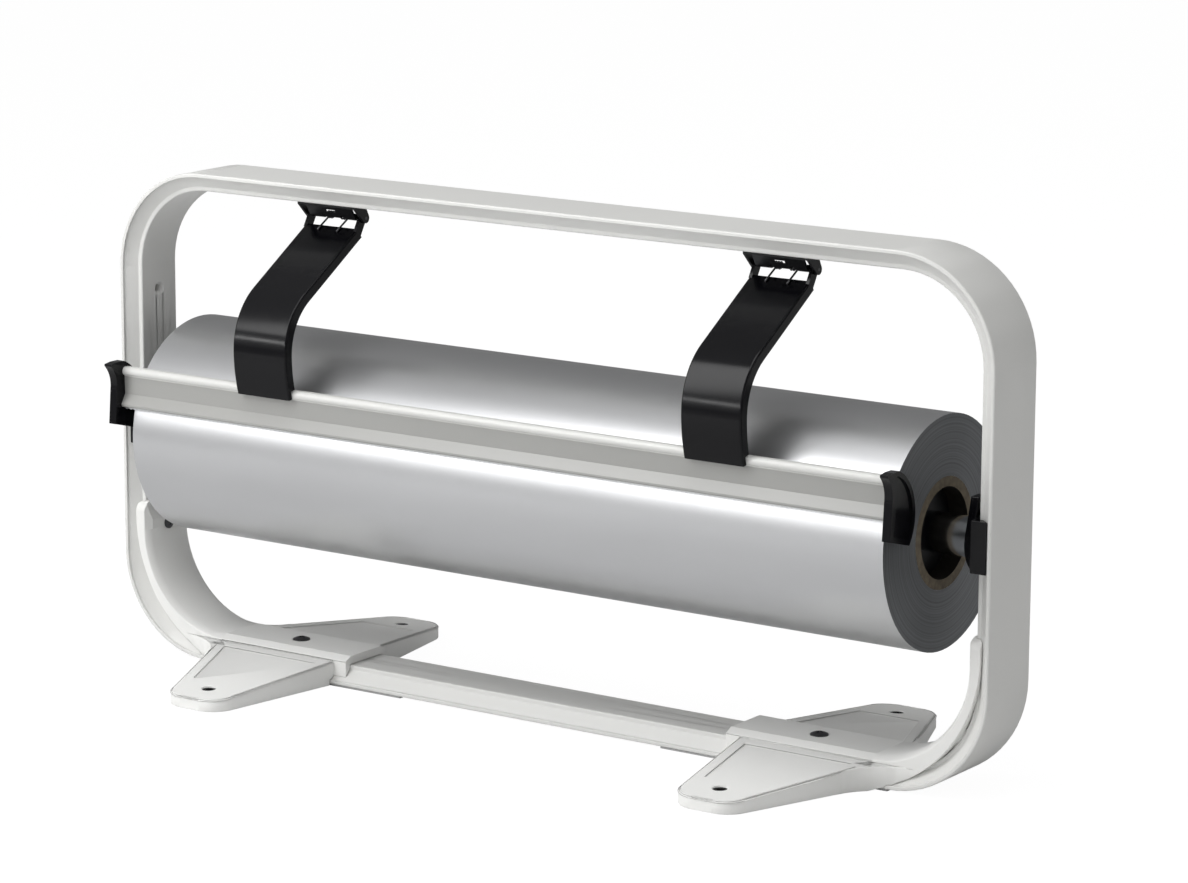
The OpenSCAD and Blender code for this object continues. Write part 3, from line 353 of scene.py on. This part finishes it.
def from_shaft(n, place):
    """Distance from the shaft's axis in metres, and the object coordinates moved to that axis."""
    move = n.new("ShaderNodeVectorMath", operation="SUBTRACT")
    move.inputs[1].default_value = SHAFT_AXIS
    n.link(place, move.inputs[0])
    flat = n.new("ShaderNodeVectorMath", operation="MULTIPLY")
    flat.inputs[1].default_value = (0.0, 1.0, 1.0)
    n.link(move.outputs[0], flat.inputs[0])
    length = n.new("ShaderNodeVectorMath", operation="LENGTH")
    n.link(flat.outputs[0], length.inputs[0])
    return length.outputs["Value"], move.outputs[0]


def faces_along_x(n):
    """One where the surface faces along X, as the ends of the roll do, and zero elsewhere."""
    facing = n.new("ShaderNodeSeparateXYZ")
    n.link(n.new("ShaderNodeTexCoord").outputs["Normal"], facing.inputs[0])
    size = n.new("ShaderNodeMath", operation="ABSOLUTE")
    n.link(facing.outputs["X"], size.inputs[0])
    end = n.new("ShaderNodeMath", operation="GREATER_THAN")
    end.inputs[1].default_value = 0.5
    n.link(size.outputs[0], end.inputs[0])
    return end.outputs[0]


def silver_paper():
    """Silvered wrapping paper: satin metal with a faint bloom.

    Its dull grey ends show the sheet's turns as rings.
    """
    mat, n, shader, place = surface("silver_paper", SILVER)
    radius, centred = from_shaft(n, place)
    cloud = grain(n, place, 26.0, (0.25, 1, 1))
    rings = n.new("ShaderNodeTexNoise", noise_dimensions="1D")
    rings.inputs["Scale"].default_value = 900.0
    rings.inputs["Detail"].default_value = 4.0
    n.link(radius, rings.inputs["W"])
    end = faces_along_x(n)
    sheet = n.ramp(cloud, [(0.3, scaled(SILVER, 0.97)), (0.7, scaled(SILVER, 1.03))])
    turns = n.ramp(rings.outputs["Fac"], [(0.3, scaled(EDGE_GREY, 0.82)), (0.7, scaled(EDGE_GREY, 1.22))])
    colour = n.new("ShaderNodeMix", data_type="RGBA")
    n.link(end, colour.inputs["Factor"])
    n.link(sheet, colour.inputs["A"])
    n.link(turns, colour.inputs["B"])
    n.link(colour.outputs["Result"], shader.inputs["Base Color"])
    finish = (("Metallic", 0.9, 0.6), ("Roughness", 0.31, 0.42), ("Anisotropic", 0.0, 0.8))
    for socket, on_sheet, on_end in finish:
        span = n.new("ShaderNodeMapRange")
        span.inputs["To Min"].default_value = on_sheet
        span.inputs["To Max"].default_value = on_end
        n.link(end, span.inputs["Value"])
        n.link(span.outputs[0], shader.inputs[socket])
    around = n.new("ShaderNodeTangent", direction_type="RADIAL", axis="X")
    n.link(around.outputs[0], shader.inputs["Tangent"])
    relief(n, rings.outputs["Fac"], shader, 0.0001, 0.3)
    return mat


def card_tube():
    """Grey-brown board on the tube's ends; its walls, the bore's among them, are painted nearly black as
    painted shade, where light hardly reaches.
    """
    mat, n, shader, place = surface("card_tube", CARD, roughness=0.8, specular=0.25)
    fibre = grain(n, place, 300.0, detail=5.0)
    board = n.ramp(fibre, [(0.3, scaled(CARD, 0.8)), (0.7, scaled(CARD, 1.2))])
    # Painted shade: the walls that don't face along X, the bore's among them, are nearly black
    painted_bore_shade = n.ramp(fibre, [(0.3, scaled(CARD, 0.06)), (0.7, scaled(CARD, 0.1))])
    colour = n.new("ShaderNodeMix", data_type="RGBA")
    n.link(faces_along_x(n), colour.inputs["Factor"])
    n.link(painted_bore_shade, colour.inputs["A"])
    n.link(board, colour.inputs["B"])
    n.link(colour.outputs["Result"], shader.inputs["Base Color"])
    relief(n, fibre, shader, 0.0001, 0.5)
    return mat


def dress(material, *names):
    """These CAD nodes take the material."""
    for name in names:
        for place in nodes[name].material_slots:
            place.link = "OBJECT"
            place.material = material


def both(*stems):
    """The left and the right node of each stem."""
    return [side + stem for stem in stems for side in ("left_", "right_")]


def spring_half():
    """Centre line and side vectors of half a spring, in millimetres from the middle of its hinge pin.

    Coil, t from 0 to 1: a = pi - turn t, p = (b + (l - b) t, R cos a, R sin a).
    Its side vector is (0, cos a, sin a).
    Leg: the points (l, y, z), with the side vector square to the leg in the plane x = l.
    """
    t = np.linspace(0.0, 1.0, COIL_STEPS + 1)
    a = math.pi - math.radians(COIL_DEGREES) * t
    away = np.stack([np.zeros_like(a), np.cos(a), np.sin(a)], 1)
    coil = COIL_R * away
    coil[:, 0] = BRIDGE_HALF + (LEG_X - BRIDGE_HALF) * t
    leg = np.array([(LEG_X, y, z) for y, z in LEG_POINTS])
    run = leg[2] - leg[0]
    across = np.array([0.0, -run[2], run[1]]) / np.linalg.norm(run)
    return np.concatenate([coil, leg]), np.concatenate([away, np.tile(across, (3, 1))])


def swept_wire(name, centre, line, side, radius, sides):
    """Round wire along a line: each ring is p + r (u cos w + v sin w), w from 0 to 2 pi.

    d is the line's direction, u the side vector made square to d, and v = d x u.
    """
    d = np.gradient(line, axis=0)
    d /= np.linalg.norm(d, axis=1)[:, None]
    u = side - (side * d).sum(1)[:, None] * d
    u /= np.linalg.norm(u, axis=1)[:, None]
    v = np.cross(d, u)
    w = 2 * math.pi * np.arange(sides) / sides
    circle = u[:, None] * np.cos(w)[:, None] + v[:, None] * np.sin(w)[:, None]
    rings = line[:, None] + radius * circle
    verts = (rings.reshape(-1, 3) + np.array(centre)) * MM
    start = (np.arange(len(line) - 1) * sides)[:, None]
    i = start + np.arange(sides)
    j = start + (np.arange(sides) + 1) % sides
    quads = np.stack([i, j, j + sides, i + sides], -1).reshape(-1, 4)
    last = (len(line) - 1) * sides
    ends = [list(range(sides))[::-1], list(range(last, last + sides))]
    mesh = bpy.data.meshes.new(name)
    mesh.from_pydata(verts.tolist(), [], quads.tolist() + ends)
    mesh.polygons.foreach_set("use_smooth", np.arange(len(mesh.polygons)) < len(quads))
    piece = bpy.data.objects.new(name, mesh)
    scene.collection.objects.link(piece)
    return piece


def fine_springs(material):
    """Both torsion springs with round wire, in the places of the CAD's six-sided ones."""
    half, side = spring_half()
    flip = np.array([-1.0, 1.0, 1.0])
    line = np.concatenate([half[::-1] * flip, half])
    sides = np.concatenate([side[::-1], side])
    for stem, x in (("left", -PIN[0]), ("right", PIN[0])):
        piece = swept_wire(stem + "_spring_wire", (x, PIN[1], PIN[2]), line, sides, WIRE_R, WIRE_SIDES)
        piece.data.materials.append(material)
        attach(piece, "cutter")
        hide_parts(stem + "_torsion_spring")


def soften(width, *names):
    """Round edges on these CAD nodes, whose loose triangles are joined first."""
    for name in names:
        weld = nodes[name].modifiers.new("weld", "WELD")
        weld.merge_threshold = SAME_POINT
        bevel = nodes[name].modifiers.new("edges", "BEVEL")
        bevel.width = width
        bevel.segments = EDGE_STEPS
        bevel.use_clamp_overlap = False
        bevel.limit_method = "ANGLE"
        bevel.angle_limit = math.radians(EDGE_ANGLE)
        bevel.harden_normals = True


place_camera()
world_light()
studio_floor()
for lamp in LAMPS:
    soft_box(*lamp)

dress(satin_paint("frame_paint", WARM_GREY), "frame_loop")
dress(satin_paint("cast_paint", CAST_GREY), *both("foot"))
# The rail's paint carries a painted highlight on its rounded lip
dress(satin_paint("rail_paint", RAIL_GREY, gloss=0.26, lip_highlight=(LIP_HIGHLIGHT_HEIGHT, RAIL_LIP_HIGHLIGHT)), "cutting_rail")
dress(moulded_plastic("arm_plastic", ARM_BLACK), *both("spring_arm", "rail_cap", "shaft_holder"))
dress(moulded_plastic("plug_plastic", ARM_BLACK, 0.45, 0.3), *both("core_plug"))
dress(satin_paint("bracket_black", ARM_BLACK, 0.3), *both("arm_bracket"))
# The near-black bushes stand in for the shade inside the foot holes: painted shade
dress(moulded_plastic("bush_rubber", BUSH_SHADE_BLACK, 0.6), "foot_bushes")
dark_steel = drawn_metal("dark_steel", SCREW_STEEL, 0.4)
dress(dark_steel, "saddle_screws", "foot_arm_screws", "holder_screws", "bracket_screws", "arm_rivets")
spring_steel = drawn_metal("spring_steel", SPRING_STEEL, 0.35)
dress(spring_steel, *both("torsion_spring", "hinge_pin"))
fine_springs(spring_steel)
dress(drawn_metal("strip_steel", STRIP_STEEL, 0.4, ALONG_X), *both("clamp_strip"))
dress(drawn_metal("blade_steel", BLADE_STEEL, 0.3, ALONG_X), "serrated_blade")
dress(drawn_metal("shaft_steel", SHAFT_STEEL, 0.14, ALONG_X), "shaft")
dress(card_tube(), "core_tube")
dress(silver_paper(), "paper_roll")

soften(STRIP_EDGE, "frame_loop", *both("shaft_holder"))
soften(FOOT_EDGE, *both("foot"))

scene.view_settings.view_transform = "Standard"
